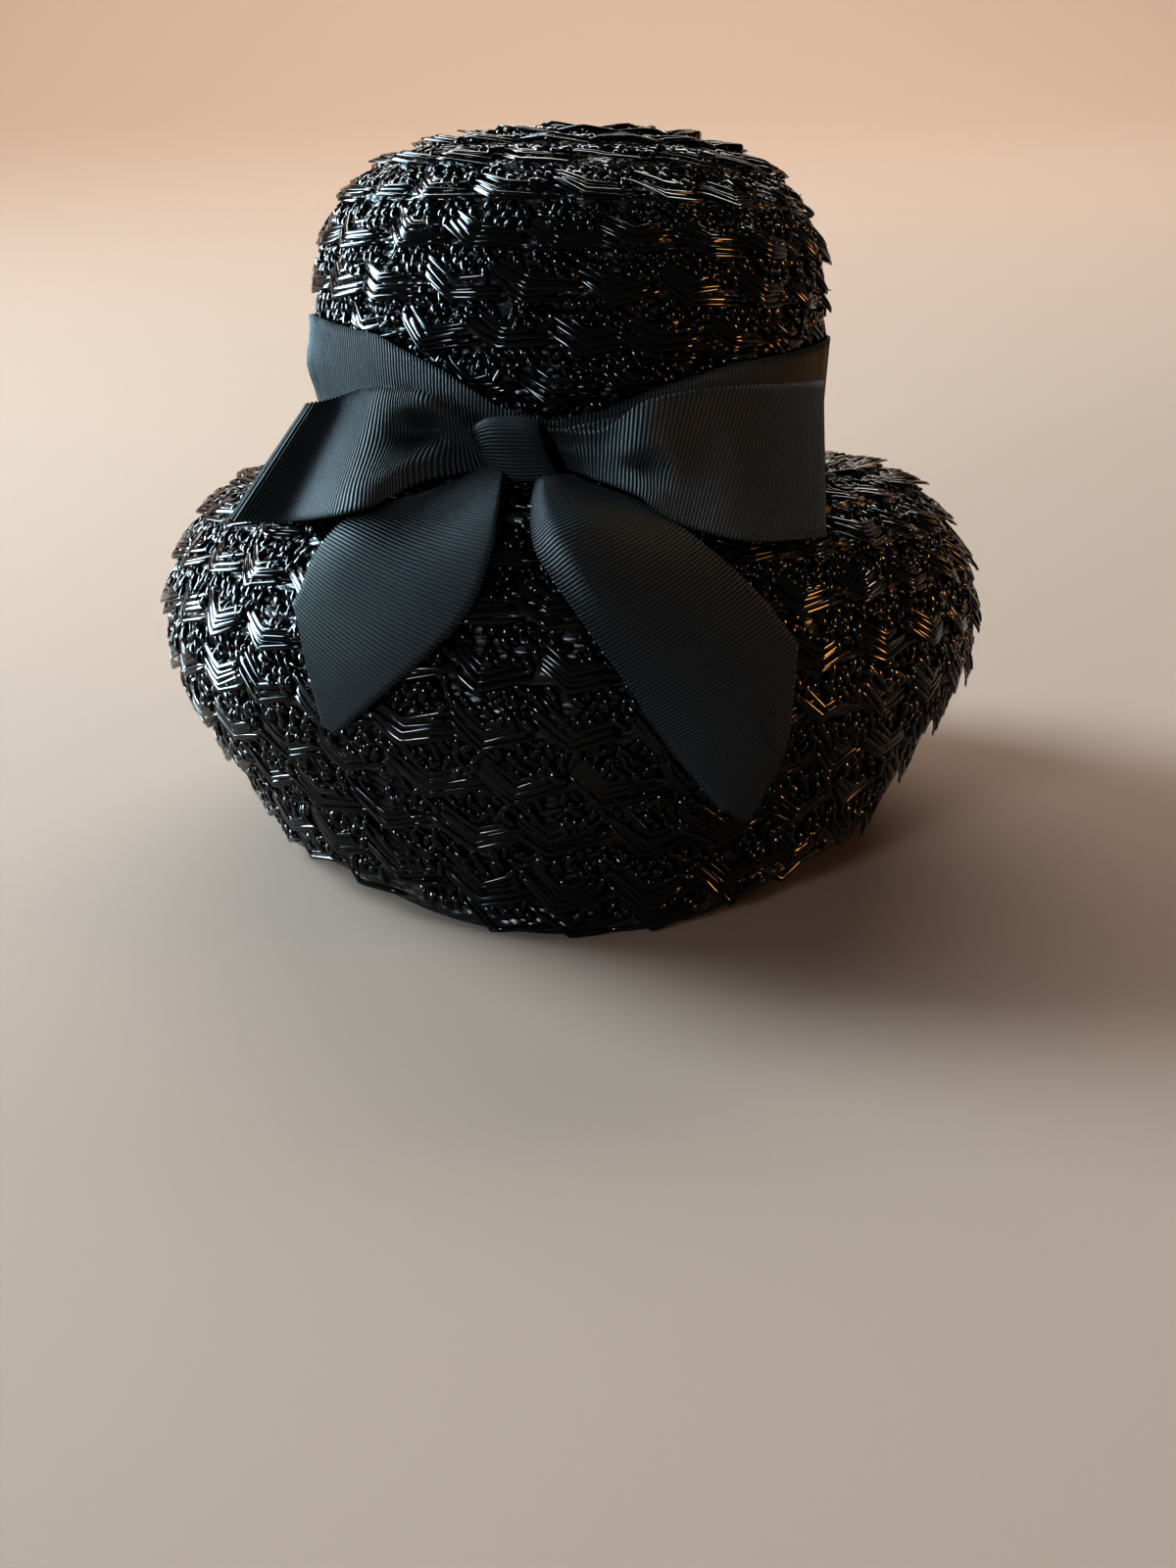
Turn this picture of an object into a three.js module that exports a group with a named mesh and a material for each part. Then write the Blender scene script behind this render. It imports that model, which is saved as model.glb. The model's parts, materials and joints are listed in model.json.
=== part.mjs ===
import * as THREE from 'three';

// Straw hat with a chimney crown, a mushroom brim and a ribbon tied in a bow at the back.
// Sizes are in millimetres. The hat is drawn about its crown axis, then seated on its rim.
const OVAL = 1.06; // length from back to front over width
const BACK = 270; // direction of the bow, degrees round the axis
const SEAM = 90; // where the spiral of braid starts and ends, at the front
const COLUMNS = 52; // facets round the straw
const INNER_STEPS = 12; // facets down the inside of the straw
const BAND_COLUMNS = 64; // facets round the band
const WALL = 1.4; // straw at the top of each row
const LIP = 1.6; // how far the lower edge of a row stands over the next
const JOINT = 0.3; // space left between neighbouring pieces
const RIBBON = 1; // thickness of the ribbon
const TAIL_CLEAR = 0.5; // space between the lips of the brim and a tail
const SEAT_TILT = 9; // the rim dips towards the back by this angle
const RIM_LIFT = 8; // the rim rises this much on each side of the back
const RIM_LIFT_AT = 52; // degrees from the back
const RIM_LIFT_SPREAD = 24;
const CROWN_ROWS = 11;
const CROWN_GROWTH = 0; // the rows of the crown are all as wide
const BRIM_ROWS = 10;
const BRIM_GROWTH = 0.034; // the rows of the brim widen towards the rim
const KNOT_TURN = -9.5; // degrees from the back
const KNOT_HEIGHT = 127.6;
const KNOT_REACH = 79.8; // from the axis to the middle of the knot
const KNOT_HALF = { across: 9.5, out: 6.9, up: 7 };
const KNOT_SLANT = 0.35; // the wrap leans as it goes down
const KNOT_SQUARE = 0.55; // 1 is an ellipsoid, less is boxier

const CROWN_LINE = [
  { place: 'tip', r: 0, z: 210.5 },
  { place: 'tip', r: 20, z: 209.5 },
  { place: 'tip', r: 38, z: 206.5 },
  { place: 'shoulder', r: 53, z: 201 },
  { place: 'shoulder', r: 63, z: 192 },
  { place: 'shoulder', r: 69, z: 181 },
  { place: 'side', r: 71, z: 168 },
  { place: 'side', r: 71, z: 150 },
  { place: 'side', r: 70.3, z: 135 },
  { place: 'waist', r: 69.5, z: 119 },
];
const BRIM_LINE = [
  { place: 'waist', r: 68, z: 118.7 },
  { place: 'top', r: 75, z: 117.6 },
  { place: 'top', r: 85, z: 115.6 },
  { place: 'shoulder', r: 96, z: 110.5 },
  { place: 'shoulder', r: 106, z: 101 },
  { place: 'shoulder', r: 112, z: 90 },
  { place: 'belly', r: 114.5, z: 76 },
  { place: 'belly', r: 111, z: 60 },
  { place: 'underside', r: 102, z: 45 },
  { place: 'underside', r: 91, z: 28 },
  { place: 'underside', r: 83, z: 13 },
  { place: 'rim', r: 80, z: 0 },
];
// Turns are degrees from the back, positive to the right as the bow is faced.
const BAND_EDGES = [
  { turn: -180, top: 157, foot: 120.4 },
  { turn: -120, top: 159, foot: 120.4 },
  { turn: -75, top: 160, foot: 120.4 },
  { turn: -44, top: 155, foot: 120.4 },
  { turn: -27, top: 146, foot: 120.4 },
  { turn: -15, top: 137, foot: 120.8 },
  { turn: -4, top: 133, foot: 121.2 },
  { turn: 7, top: 136, foot: 120.8 },
  { turn: 17, top: 141, foot: 120.4 },
  { turn: 35, top: 147, foot: 120.4 },
  { turn: 75, top: 152, foot: 120.4 },
  { turn: 120, top: 155, foot: 120.4 },
  { turn: 180, top: 157, foot: 120.4 },
];
// Each loop runs from the knot along its front, round the fold and back behind.
const LEFT_LOOP = [
  { part: 'knot', topTurn: -18.2, topZ: 132, topR: 83, lowTurn: -15, lowZ: 122.5, lowR: 83 },
  { part: 'front', topTurn: -24, topZ: 140.5, topR: 85, lowTurn: -26, lowZ: 119.5, lowR: 94 },
  { part: 'front', topTurn: -33, topZ: 142, topR: 86, lowTurn: -30, lowZ: 113.5, lowR: 103 },
  { part: 'front', topTurn: -44, topZ: 140.5, topR: 85, lowTurn: -38, lowZ: 107, lowR: 113 },
  { part: 'fold', topTurn: -55, topZ: 137.5, topR: 82, lowTurn: -55, lowZ: 110, lowR: 108 },
  { part: 'fold', topTurn: -57, topZ: 137, topR: 79.5, lowTurn: -57.5, lowZ: 110.5, lowR: 105 },
  { part: 'behind', topTurn: -53, topZ: 137, topR: 78, lowTurn: -52, lowZ: 110, lowR: 103 },
  { part: 'behind', topTurn: -42, topZ: 138, topR: 78, lowTurn: -40, lowZ: 109, lowR: 103.5 },
  { part: 'behind', topTurn: -31, topZ: 137, topR: 78, lowTurn: -31, lowZ: 113.5, lowR: 98 },
  { part: 'knot', topTurn: -18, topZ: 131, topR: 77.5, lowTurn: -15.3, lowZ: 123, lowR: 77.5 },
];
const RIGHT_LOOP = [
  { part: 'knot', topTurn: -3.7, topZ: 132, topR: 83, lowTurn: -0.5, lowZ: 122.5, lowR: 83 },
  { part: 'front', topTurn: 11, topZ: 139.5, topR: 85, lowTurn: 9, lowZ: 117, lowR: 93 },
  { part: 'front', topTurn: 24, topZ: 141.5, topR: 86, lowTurn: 14, lowZ: 110.5, lowR: 107 },
  { part: 'front', topTurn: 40, topZ: 142, topR: 85, lowTurn: 23, lowZ: 105.5, lowR: 114 },
  { part: 'fold', topTurn: 54, topZ: 142, topR: 81.5, lowTurn: 34.5, lowZ: 105, lowR: 111.5 },
  { part: 'fold', topTurn: 56, topZ: 142, topR: 79, lowTurn: 36, lowZ: 105, lowR: 108.5 },
  { part: 'behind', topTurn: 52, topZ: 141, topR: 77.7, lowTurn: 33, lowZ: 105.5, lowR: 106.5 },
  { part: 'behind', topTurn: 40, topZ: 140, topR: 77.7, lowTurn: 25, lowZ: 107, lowR: 106 },
  { part: 'behind', topTurn: 24, topZ: 138, topR: 77.7, lowTurn: 15, lowZ: 113, lowR: 98 },
  { part: 'knot', topTurn: -3.4, topZ: 131, topR: 77.5, lowTurn: -0.7, lowZ: 123, lowR: 77.5 },
];
// The tails lie on the brim from under the knot to a slanted cut.
const LEFT_TAIL = [
  { part: 'knot', leftTurn: -13.6, leftZ: 119, rightTurn: -8.9, rightZ: 119 },
  { part: 'middle', leftTurn: -26, leftZ: 114.5, rightTurn: -9.5, rightZ: 109 },
  { part: 'middle', leftTurn: -34, leftZ: 107.5, rightTurn: -10.5, rightZ: 97 },
  { part: 'middle', leftTurn: -37, leftZ: 99, rightTurn: -17, rightZ: 81 },
  { part: 'cut', leftTurn: -38.5, leftZ: 91.5, rightTurn: -34.5, rightZ: 55 },
];
const RIGHT_TAIL = [
  { part: 'knot', leftTurn: -7.4, leftZ: 119, rightTurn: -2.8, rightZ: 119 },
  { part: 'middle', leftTurn: -6, leftZ: 106, rightTurn: 7.5, rightZ: 115 },
  { part: 'middle', leftTurn: -3, leftZ: 98, rightTurn: 13, rightZ: 109 },
  { part: 'middle', leftTurn: 3, leftZ: 83, rightTurn: 20, rightZ: 98 },
  { part: 'middle', leftTurn: 11, leftZ: 59, rightTurn: 26, rightZ: 87 },
  { part: 'cut', leftTurn: 24.5, leftZ: 31, rightTurn: 28.8, rightZ: 80 },
];

const straw = new THREE.MeshStandardMaterial({ color: '#15161a', roughness: 0.28, metalness: 0 });
const grosgrain = new THREE.MeshStandardMaterial({ color: '#1b1c1c', roughness: 0.62, metalness: 0 });

const radians = THREE.MathUtils.degToRad;

// A smooth line through the rows of a table, measured by its length.
function meridian(table) {
  const points = table.map((row) => new THREE.Vector3(row.r, 0, row.z));
  const line = new THREE.CatmullRomCurve3(points, false, 'centripetal');
  line.arcLengthDivisions = 600;
  return line;
}

const crownLine = meridian(CROWN_LINE);
const brimLine = meridian(BRIM_LINE);
const rimRadius = BRIM_LINE[BRIM_LINE.length - 1].r;

// A point at an angle round the axis, at a distance from it and a height.
function place(degrees, r, z) {
  const angle = radians(degrees);
  return new THREE.Vector3(r * Math.cos(angle), OVAL * r * Math.sin(angle), z);
}

// Height of the rim below a point: a plane that dips to the back, lifted on each side of it.
function rimHeight(degrees, r) {
  const fromBack = Math.abs(THREE.MathUtils.euclideanModulo(degrees - BACK + 180, 360) - 180);
  const bell = (a) => Math.exp(-(((a - RIM_LIFT_AT) / RIM_LIFT_SPREAD) ** 2));
  const lift = RIM_LIFT * Math.max(0, bell(fromBack) - bell(0));
  const y = OVAL * r * Math.sin(radians(degrees));
  return Math.tan(radians(SEAT_TILT)) * (y + OVAL * rimRadius) + lift;
}

// How much of the brim's line is used at an angle before it meets the rim.
function rimShare(degrees) {
  return reach((u) => {
    const at = brimLine.getPointAt(u);
    return rimHeight(degrees, at.x) - at.z;
  }, 0);
}

// Collects triangles on welded points.
class Skin {
  constructor() {
    this.positions = [];
    this.indices = [];
    this.known = new Map();
  }

  point(v) {
    const key = [v.x, v.y, v.z].map((n) => Math.round(n * 2000)).join(',');
    if (!this.known.has(key)) {
      this.known.set(key, this.positions.length / 3);
      this.positions.push(v.x, v.y, v.z);
    }
    return this.known.get(key);
  }

  triangle(a, b, c) {
    const [i, j, k] = [a, b, c].map((v) => this.point(v));
    if (i !== j && j !== k && k !== i) this.indices.push(i, j, k);
  }

  quad(a, b, c, d) {
    this.triangle(a, b, c);
    this.triangle(a, c, d);
  }

  geometry() {
    const made = new THREE.BufferGeometry();
    made.setAttribute('position', new THREE.Float32BufferAttribute(this.positions, 3));
    made.setIndex(this.indices);
    made.computeVertexNormals();
    return made;
  }
}

// A point beside a line, at an offset square to it.
function beside(line, u, offset) {
  const at = line.getPointAt(u);
  const along = line.getTangentAt(u);
  return { r: Math.max(0, at.x - along.z * offset), z: at.z + along.x * offset };
}

// A wall of braid sewn in a spiral: each row leans out to a lip over the row below it.
function braidWall({ line, rows, growth, share, foot }) {
  const skin = new Skin();
  const whole = rows * (1 + growth * rows);
  const edge = (row) => Math.min(1, (row * (1 + growth * row)) / whole);
  const used = [];
  for (let j = 0; j <= COLUMNS; j += 1) used.push(share(SEAM + (360 * j) / COLUMNS));

  function at(j, fraction, offset) {
    const degrees = SEAM + (360 * j) / COLUMNS;
    const u = Math.min(1, fraction * used[j]);
    if (fraction >= 1) {
      const r = line.getPointAt(u).x + offset;
      return place(degrees, r, foot(degrees, r));
    }
    const q = beside(line, u, offset);
    return place(degrees, q.r, Math.max(q.z, foot(degrees, q.r)));
  }

  // Outer points of a column from the start of the braid to its last lip.
  function outer(j) {
    const turn = j / COLUMNS;
    const points = [];
    for (let row = 0; row <= rows; row += 1) {
      const from = row === 0 ? 0 : edge(row - 1 + turn);
      const to = row === rows ? 1 : edge(row + turn);
      const width = row === 0 ? turn : row === rows ? 1 - turn : 1;
      const ended = row === rows && j === COLUMNS;
      points.push(at(j, from, ended ? LIP : 0));
      points.push(at(j, to, ended ? LIP : LIP * width));
    }
    return points;
  }

  function inner(j) {
    const points = [];
    for (let step = 0; step <= INNER_STEPS; step += 1) points.push(at(j, step / INNER_STEPS, -WALL));
    return points;
  }

  for (let j = 0; j < COLUMNS; j += 1) {
    const [outA, outB] = [outer(j), outer(j + 1)];
    const [inA, inB] = [inner(j), inner(j + 1)];
    for (let k = 0; k + 1 < outA.length; k += 1) skin.quad(outA[k], outA[k + 1], outB[k + 1], outB[k]);
    for (let k = 0; k < INNER_STEPS; k += 1) skin.quad(inA[k], inB[k], inB[k + 1], inA[k + 1]);
    const last = outA.length - 1;
    skin.quad(outA[last], inA[INNER_STEPS], inB[INNER_STEPS], outB[last]);
    if (outA[0].distanceTo(outB[0]) > 0) skin.quad(outA[0], outB[0], inB[0], inA[0]);
  }
  return skin.geometry();
}

// A strip of ribbon from a grid of points on its middle surface, rows along it and columns across.
function ribbonSolid(grid, ring) {
  const skin = new Skin();
  const count = grid.length;
  const across = grid[0].length;
  const wrap = (i) => (ring ? (i + count) % count : THREE.MathUtils.clamp(i, 0, count - 1));
  const faces = [[], []];
  for (let i = 0; i < count; i += 1) {
    const pair = [[], []];
    for (let k = 0; k < across; k += 1) {
      const along = grid[wrap(i + 1)][k].clone().sub(grid[wrap(i - 1)][k]);
      const side = grid[i][Math.min(across - 1, k + 1)].clone().sub(grid[i][Math.max(0, k - 1)]);
      const normal = along.cross(side).normalize().multiplyScalar(RIBBON / 2);
      pair[0].push(grid[i][k].clone().add(normal));
      pair[1].push(grid[i][k].clone().sub(normal));
    }
    faces[0].push(pair[0]);
    faces[1].push(pair[1]);
  }
  const [front, back] = faces;
  const spans = ring ? count : count - 1;
  for (let i = 0; i < spans; i += 1) {
    const n = wrap(i + 1);
    for (let k = 0; k + 1 < across; k += 1) {
      skin.quad(front[i][k], front[n][k], front[n][k + 1], front[i][k + 1]);
      skin.quad(back[i][k], back[i][k + 1], back[n][k + 1], back[n][k]);
    }
    const e = across - 1;
    skin.quad(front[i][0], back[i][0], back[n][0], front[n][0]);
    skin.quad(front[i][e], front[n][e], back[n][e], back[i][e]);
  }
  if (!ring) {
    const last = count - 1;
    for (let k = 0; k + 1 < across; k += 1) {
      skin.quad(front[0][k], front[0][k + 1], back[0][k + 1], back[0][k]);
      skin.quad(front[last][k], back[last][k], back[last][k + 1], front[last][k + 1]);
    }
  }
  return skin.geometry();
}

// Values of one column of a table, smoothed between its rows.
function smooth(values) {
  const points = values.map((value) => new THREE.Vector3(value, 0, 0));
  const line = new THREE.CatmullRomCurve3(points, false, 'catmullrom', 0.5);
  return (t) => line.getPoint(t).x;
}

// Where a rising function of 0 to 1 reaches a value.
function reach(rising, value) {
  let low = 0;
  let high = 1;
  for (let step = 0; step < 40; step += 1) {
    const middle = (low + high) / 2;
    if (rising(middle) < value) low = middle;
    else high = middle;
  }
  return low;
}

// Distance from the axis, at a height, of a surface that lies over the straw by an offset.
function radiusOver(line, z, offset) {
  return beside(line, reach((u) => -beside(line, u, offset).z, -z), offset).r;
}

function bandGeometry() {
  const column = (name) => smooth(BAND_EDGES.map((row) => row[name]));
  const [turn, top, foot] = [column('turn'), column('top'), column('foot')];
  const clear = LIP + JOINT + RIBBON / 2;
  const grid = [];
  for (let i = 0; i < BAND_COLUMNS; i += 1) {
    const degrees = (360 * i) / BAND_COLUMNS - 180;
    const t = reach(turn, degrees);
    const line = [];
    for (let k = 0; k <= 4; k += 1) {
      const z = THREE.MathUtils.lerp(foot(t), top(t), k / 4);
      line.push(place(BACK + degrees, radiusOver(crownLine, z, clear), z));
    }
    grid.push(line);
  }
  return ribbonSolid(grid, true);
}

function loopGeometry(table, mirrored) {
  const steps = 3 * (table.length - 1);
  const column = (name) => smooth(table.map((row) => row[name]));
  const top = ['topTurn', 'topR', 'topZ'].map(column);
  const low = ['lowTurn', 'lowR', 'lowZ'].map(column);
  const grid = [];
  for (let i = 0; i <= steps; i += 1) {
    const t = i / steps;
    const upper = place(BACK + top[0](t), top[1](t), top[2](t));
    const lower = place(BACK + low[0](t), low[1](t), low[2](t));
    const line = [];
    for (let k = 0; k <= 5; k += 1) line.push(lower.clone().lerp(upper, k / 5));
    grid.push(mirrored ? line.reverse() : line);
  }
  return ribbonSolid(grid, false);
}

function tailGeometry(table) {
  const clear = LIP + TAIL_CLEAR + RIBBON / 2;
  const steps = 5 * (table.length - 1);
  const column = (name) => smooth(table.map((row) => row[name]));
  const left = ['leftTurn', 'leftZ'].map(column);
  const right = ['rightTurn', 'rightZ'].map(column);
  const grid = [];
  for (let i = 0; i <= steps; i += 1) {
    const t = i / steps;
    const line = [];
    for (let k = 0; k <= 8; k += 1) {
      const turn = THREE.MathUtils.lerp(left[0](t), right[0](t), k / 8);
      const z = THREE.MathUtils.lerp(left[1](t), right[1](t), k / 8);
      line.push(place(BACK + turn, radiusOver(brimLine, z, clear), z));
    }
    grid.push(line);
  }
  return ribbonSolid(grid, false);
}

// A rounded block, wider than high, whose top leans to the left.
function knotGeometry() {
  const made = new THREE.SphereGeometry(1, 16, 10);
  const ball = new Skin();
  const at = made.getAttribute('position');
  const round = (n) => Math.sign(n) * Math.abs(n) ** KNOT_SQUARE;
  const middle = place(BACK + KNOT_TURN, KNOT_REACH, KNOT_HEIGHT);
  const out = place(BACK + KNOT_TURN, 1, 0).normalize();
  const across = new THREE.Vector3(-out.y, out.x, 0);
  const corner = (i) => {
    const n = new THREE.Vector3().fromBufferAttribute(at, i);
    const up = KNOT_HALF.up * round(n.y);
    return middle
      .clone()
      .addScaledVector(across, KNOT_HALF.across * round(n.x) - KNOT_SLANT * up)
      .addScaledVector(out, KNOT_HALF.out * round(n.z))
      .add(new THREE.Vector3(0, 0, up));
  };
  const order = made.getIndex();
  for (let i = 0; i < order.count; i += 3) {
    ball.triangle(corner(order.getX(i)), corner(order.getX(i + 1)), corner(order.getX(i + 2)));
  }
  return ball.geometry();
}

const pieces = [
  {
    name: 'crown',
    material: straw,
    geometry: braidWall({
      line: crownLine,
      rows: CROWN_ROWS,
      growth: CROWN_GROWTH,
      share: () => 1,
      foot: () => CROWN_LINE[CROWN_LINE.length - 1].z,
    }),
  },
  {
    name: 'brim',
    material: straw,
    geometry: braidWall({
      line: brimLine,
      rows: BRIM_ROWS,
      growth: BRIM_GROWTH,
      share: rimShare,
      foot: rimHeight,
    }),
  },
  { name: 'hat_band', material: grosgrain, geometry: bandGeometry() },
  { name: 'bow_knot', material: grosgrain, geometry: knotGeometry() },
  { name: 'bow_loop_left', material: grosgrain, geometry: loopGeometry(LEFT_LOOP, true) },
  { name: 'bow_loop_right', material: grosgrain, geometry: loopGeometry(RIGHT_LOOP, false) },
  { name: 'bow_tail_left', material: grosgrain, geometry: tailGeometry(LEFT_TAIL) },
  { name: 'bow_tail_right', material: grosgrain, geometry: tailGeometry(RIGHT_TAIL) },
];

// Seat the hat on its rim, with the middle of its outline over the origin.
const seat = new THREE.Matrix4().makeRotationX(-radians(SEAT_TILT));
const bounds = new THREE.Box3();
for (const piece of pieces) {
  piece.geometry.applyMatrix4(seat);
  piece.geometry.computeBoundingBox();
  bounds.union(piece.geometry.boundingBox);
}
const middle = bounds.getCenter(new THREE.Vector3());
const hat = new THREE.Group();
hat.name = 'straw_hat';
for (const piece of pieces) {
  piece.geometry.translate(-middle.x, -middle.y, -bounds.min.z);
  const mesh = new THREE.Mesh(piece.geometry, piece.material);
  mesh.name = piece.name;
  hat.add(mesh);
}

export default hat;
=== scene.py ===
import json
import math

import bpy
import numpy as np
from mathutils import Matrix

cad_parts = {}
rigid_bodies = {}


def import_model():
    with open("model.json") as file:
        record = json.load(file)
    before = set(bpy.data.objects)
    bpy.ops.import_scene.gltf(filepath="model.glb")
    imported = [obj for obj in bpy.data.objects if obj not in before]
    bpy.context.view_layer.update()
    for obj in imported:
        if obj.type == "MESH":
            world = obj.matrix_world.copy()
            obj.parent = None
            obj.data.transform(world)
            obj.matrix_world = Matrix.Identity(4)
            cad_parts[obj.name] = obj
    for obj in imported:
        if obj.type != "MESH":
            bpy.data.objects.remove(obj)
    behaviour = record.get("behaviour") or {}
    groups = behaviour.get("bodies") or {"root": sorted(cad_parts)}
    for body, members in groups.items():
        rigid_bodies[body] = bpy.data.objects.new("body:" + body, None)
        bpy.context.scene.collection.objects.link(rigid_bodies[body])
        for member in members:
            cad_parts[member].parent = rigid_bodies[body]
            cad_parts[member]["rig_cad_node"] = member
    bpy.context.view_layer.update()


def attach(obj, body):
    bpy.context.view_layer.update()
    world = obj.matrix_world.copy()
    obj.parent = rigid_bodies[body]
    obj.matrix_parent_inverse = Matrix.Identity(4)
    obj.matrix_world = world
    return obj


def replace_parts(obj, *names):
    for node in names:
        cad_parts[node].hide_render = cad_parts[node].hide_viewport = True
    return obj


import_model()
draw = np.random.default_rng(1962)

# Sizes are in millimetres about the crown axis, as the hat is blocked, before it is seated on its rim.
OVAL = 1.06             # length from back to front over width
BACK = 270.0            # direction of the bow, degrees round the axis
SEAM = 90.0             # where the spiral of braid starts and ends, at the front
LIP = 1.6               # how far the lower edge of a row stands over the next
WALL = 1.4              # straw at the top of each row
SEAT_TILT = math.radians(9.0)   # the rim's plane dips by this to the back, and is turned level
SEAT_SHIFT = np.array([-0.136, -11.551, -13.266])   # then the rim is moved to the floor
RIM_LIFT = 8.0          # rise of the rim on each side of the back
RIM_LIFT_AT, RIM_LIFT_SPREAD = 52.0, 24.0   # its place and breadth, degrees from the back
MM = 0.001              # metres
WELD = 0.000001         # metres: points nearer than this are made one

CROWN_LINE = [(0, 210.5), (20, 209.5), (38, 206.5), (53, 201), (63, 192), (69, 181),
              (71, 168), (71, 150), (70.3, 135), (69.5, 119)]  # radius, height
BRIM_LINE = [(68, 118.7), (75, 118.6), (85, 117.6), (96, 112.8), (106, 103), (112, 91.5),
             (114.5, 77), (111, 60), (102, 45), (91, 28), (83, 13), (80, 0)]  # radius, height

# Braid: each tooth is a nest of straws bent over the lower edge, under a field of plait nubs.
CROWN_ROWS, BRIM_ROWS = 11, 10
BRIM_GROWTH = 0.034     # half the gain from row to row, as a share of the first
PER_TURN = 240          # points in a turn of the braid
LEAN_MOST = 1.15        # heights of its row down to which a straw leans out
TOOTH = 22.0            # from one point of the lower edge to the next
STRAWS = 5              # bent straws nested in a tooth
STRAW_STEP = 1.4        # from one nested straw to the next
STRAW_HALF = 0.84       # half the width of a flattened straw
STRAW_THICK = 0.34
FALL_RUN = 11.0         # how far along the row a straw falls to its point
FALL_SHARE = 0.5        # how far up the row it starts
RISE_RUN = 16.0         # how far it runs on past the point
CROWN_CLIMB, BRIM_CLIMB = 0.8, 2.6      # and how far it climbs there
POINT_DROP = 1.1        # the points hang below the edge
POINT_HIGH = 2.5        # and stand off the wall
SINK = 2.6              # the straws start this far under the face of the row
TUCK = 2.4              # how far they go down under the band
BED = 2.4               # and the wall behind them lies this far under it
POLE = 2.0              # no straw lies this near to the axis
NEAR_AXIS = 4.0         # and the wall closes on the axis from here
FIRST = 0.004           # share of the line at which the first row begins
WALL_LEAN = 0.8         # share of the lip that the wall itself leans out
WALL_STEPS, INNER_STEPS = 5, 121    # rings in a row outside, and in all inside
SWELL = 0.25            # how far the inner side swells at each row
SWELL_FROM = 0.1        # share of the line over which that starts
ROUND = 420.0           # length given to a turn in the wall's pattern
BRIM_CUT = 0.6          # the brim's wall ends this far short of the rim
NUB_LINES = 6           # lines of nubs in a row
NUB_STEP, NUB_ROW = 3.4, 2.7    # from nub to nub, and from line to line
NUB_FROM = 6.0          # the plait starts this far above the edge
NUB_LONG, NUB_HALF, NUB_THICK = 2.8, 1.1, 0.5
NUB_BED = 0.25          # all nubs stand this much higher
NUB_STAND, NUB_FADE = 1.1, 0.4  # arch at the foot of a row, and how much less at its top
END_LONG, END_UP, END_HALF = (3, 6), 5.0, (0.14, 0.4)   # loose ends: length, height up the row, width
UNDER_NEST = (-0.6, 5.6, 0.8)   # where a nest hides the nubs: its two sides, and share of the fall

# A bent straw's stations: share of its fall, below 0, or of its run on, then stand, width and thickness.
BENT_STRAW = np.array([(-1, 0.1, 0.75, 0.8), (-0.6, 0.62, 1, 1), (-0.18, 0.94, 1, 1), (0, 1, 0.92, 1.1),
                       (0.13, 0.9, 1, 1), (0.55, 0.5, 1, 1), (1, 0.06, 0.7, 0.7)])
# A nub's stations: share of half its length, stand, width and thickness.
NUB = np.array([(-1, -0.2, 0.7, 0.8), (-0.5, 1.4, 1, 1), (0.35, 1.55, 1, 1), (1, 0, 0.75, 0.8)])

# Play of the plaiting: the least and the most share of a size, and then standard deviations.
STRAW_PLAY, RUN_PLAY, THICK_PLAY = (0.75, 1.2), (0.75, 1.12), (0.8, 1.3)
NUB_PLAY, NUB_LONG_PLAY = (0.75, 1.25), (0.75, 1.3)
TIP_PLAY, STAND_PLAY, ROLL_PLAY = 0.3, 0.16, 0.22
SWING_PLAY, TURN_PLAY = (0.07, 0.1), (0.05, 0.05)   # of a straw, and of its tooth
NUB_ALONG_PLAY, NUB_UP_PLAY, NUB_ROLL_PLAY, NUB_LEAN_PLAY = 0.5, 0.4, 0.3, 18.0
TOOTH_PLAY = 2.0        # how far a point may be out of place along the row
NEST_SINK = 0.06        # each straw further up a nest stands off less by this
STRAW_ROLL = 0.2        # radians that a straw is rolled over the next
NUB_LEANS, NUB_RIGHT = (-60, -120), 0.68    # degrees to right and left, and share to the right
STRAWS_MISSING, NUBS_MISSING = 0.08, 0.05
SCATTER = 400.0         # a strand's pattern starts anywhere in this length

# Where straws stop: how far they may pass the row's upper edge, and how far below the band's.
STRAW_PAST, STRAW_UNDER = 3.0, 6.0
NUB_PAST, NUB_UNDER, NUB_OVER = 0.5, 0.5, 0.6
TUCK_FROM, TUCK_TO = -1.5, 1.0  # they go down between these, below its edge

# Ribbon
RIB = 1.03              # spacing of the grosgrain's cross ribs
RIB_HIGH = 0.24         # a rib over the groove beside it
CLOTH = 0.18            # half the thickness of the ribbon in a groove
RIB_STEPS = 4           # points to a rib
BEAD = 40               # power that keeps the beading to the edges
EDGE_THIN, EDGE_RIB, EDGE_OUT = 0.45, 0.7, 0.35     # thinner there, ribs higher and out aside
BAND_ACROSS, BOW_ACROSS = 13, 25    # points across the ribbon
BAND_ROUND = 1800       # points round the band
BAND_OFF, TAIL_OFF = 0.4, 2.6   # off the crown's line, and off the brim's
FRAY_THREADS, FRAY_HALF = 90, 0.1
STRAY_HALF, STRAY_OFF = 0.11, 0.55


def seated(points):
    """Millimetres about the crown axis to metres in the part's frame: turned back by the seat tilt
    about X, then shifted so the rim rests on the floor under the middle of the outline."""
    x, y, z = np.moveaxis(np.asarray(points, float), -1, 0)
    c, s = math.cos(SEAT_TILT), math.sin(SEAT_TILT)
    return (np.stack([x, y * c + z * s, z * c - y * s], -1) + SEAT_SHIFT) * MM


def unit(v):
    """Vectors made one long."""
    return v / np.linalg.norm(v, axis=-1, keepdims=True)


def lengths_along(points):
    """Length from the first of a line of points to each of them."""
    return np.concatenate([[0], np.cumsum(np.linalg.norm(np.diff(points, axis=0), axis=1))])


def put(name, data):
    """A new object in the scene, at the origin."""
    made = bpy.data.objects.new(name, data)
    bpy.context.scene.collection.objects.link(made)
    return made


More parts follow.
